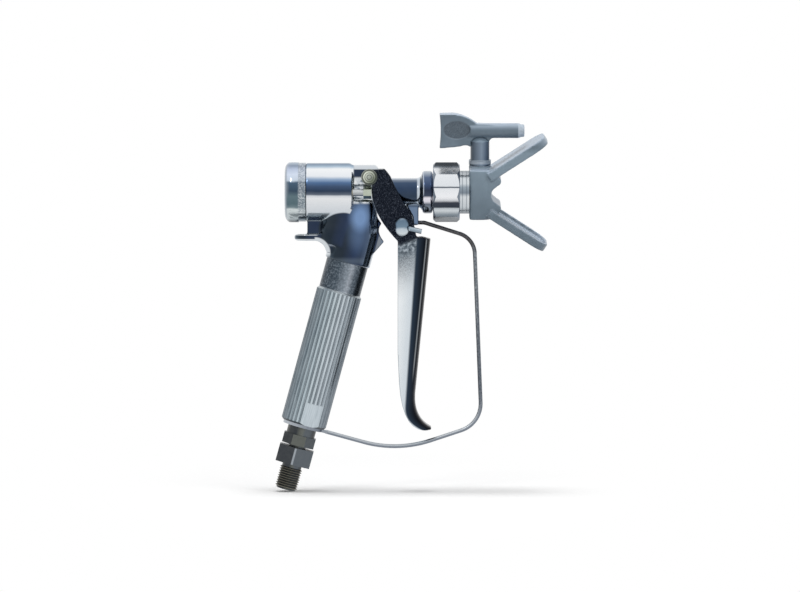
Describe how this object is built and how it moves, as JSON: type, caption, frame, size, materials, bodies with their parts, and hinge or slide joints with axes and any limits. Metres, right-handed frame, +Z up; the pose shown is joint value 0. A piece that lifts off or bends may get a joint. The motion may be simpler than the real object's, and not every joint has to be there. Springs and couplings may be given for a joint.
{
  "type": "airless paint spray gun",
  "caption": "Pistol-shaped airless paint spray gun with a long trigger, wire trigger guard, fluted handle, swivel hose inlet, reversible spray tip and winged tip guard.",
  "frame": {"origin": "on the inlet thread's axis, at its last full crest below the handle", "axes": "+X along the barrel towards the spray tip, +Z up, +Y towards the gun's left side"},
  "size_m": [0.1635, 0.0372, 0.2274],
  "materials": {
    "body_chrome": "polished chrome over cast aluminium",
    "cap_chrome": "polished chrome",
    "grip_aluminium": "satin, fluted",
    "trigger_chrome": "satin chrome blade with darker ears",
    "guard_wire": "bent steel wire",
    "black_steel": "black oxide with a slight olive tint",
    "valve_chrome": "polished chrome",
    "nut_chrome": "polished chrome",
    "ring_metal": "machined",
    "guard_plastic": "moulded blue-grey",
    "tip_plastic": "moulded blue-grey",
    "steel": "machined steel",
    "lock_steel": "satin steel",
    "brass": "pale plated brass",
    "carbide": "ground carbide",
    "rubber": "black rubber",
    "ptfe": "white sealing plastic",
    "filter_plastic": "moulded white",
    "mesh_steel": "fine woven mesh"
  },
  "bodies": {
    "gun": {"gun_body": "body_chrome", "end_cap": "cap_chrome", "cap_seal": "rubber", "handle_tube": "grip_aluminium", "handle_gasket": "rubber", "filter_core": "filter_plastic", "filter_mesh": "mesh_steel", "trigger_guard": "guard_wire", "inlet_fitting": "black_steel", "swivel_seal": "rubber", "swivel_clip": "steel", "valve_housing": "valve_chrome", "valve_seat": "carbide", "seat_gasket": "ptfe", "seat_retainer": "steel", "needle_packing": "ptfe", "packing_nut": "steel", "rod_bushing_left": "brass", "rod_bushing_right": "brass", "pivot_screw": "steel", "pivot_washer": "steel", "pivot_nut": "brass", "needle_spring": "steel"},
    "needle": {"needle_shaft": "steel", "valve_ball": "carbide", "actuator_yoke": "steel", "actuator_rod_left": "steel", "actuator_rod_right": "steel", "rod_nut_left": "brass", "rod_nut_right": "brass", "needle_nut": "steel"},
    "trigger_lever": {"trigger": "trigger_chrome"},
    "trigger_lock": {"lock_pin": "lock_steel", "lock_lever": "lock_steel", "lock_clip": "steel"},
    "swivel": {"hose_swivel": "black_steel"},
    "nut": {"guard_nut": "nut_chrome"},
    "guard": {"tip_guard": "guard_plastic", "guard_ring": "ring_metal", "saddle_seal": "steel", "tip_gasket": "rubber"},
    "spray_tip": {"tip_stem": "tip_plastic", "tip_handle": "tip_plastic", "tip_orifice": "carbide"}
  },
  "joints": [
    {"name": "trigger_pull", "type": "hinge", "parent": "gun", "child": "trigger_lever", "pos_m": [0.04997, 0, 0.18604], "axis": [0, 1, 0], "range_deg": [0, 12], "stiffness_Nm_per_rad": 1, "springref_deg": -17.19},
    {"name": "needle_slide", "type": "slide", "parent": "gun", "child": "needle", "axis": [-1, 0, 0], "range_m": [0, 0.003], "deforming": ["needle_spring"]},
    {"name": "lock_turn", "type": "hinge", "parent": "trigger_lever", "child": "trigger_lock", "pos_m": [0.06957, 0, 0.1562], "axis": [0, 1, 0], "range_deg": [0, 90]},
    {"name": "swivel_spin", "type": "hinge", "parent": "gun", "child": "swivel", "pos_m": [0, 0, 0], "axis": [-0.2639, 0, -0.9646], "continuous": true},
    {"name": "nut_spin", "type": "hinge", "parent": "gun", "child": "nut", "pos_m": [0.09637, 0, 0.1768], "axis": [1, 0, 0], "continuous": true},
    {"name": "guard_turn", "type": "hinge", "parent": "gun", "child": "guard", "pos_m": [0.10977, 0, 0.1768], "axis": [1, 0, 0], "range_deg": [-99, 81]},
    {"name": "tip_turn", "type": "hinge", "parent": "guard", "child": "spray_tip", "pos_m": [0.11617, 0, 0.1768], "axis": [0, -0.1564, 0.9877], "range_deg": [0, 180]}
  ],
  "couplings": [
    {"joint": "needle_slide", "follows": "trigger_pull", "m_per_rad": 0.0127}
  ]
}
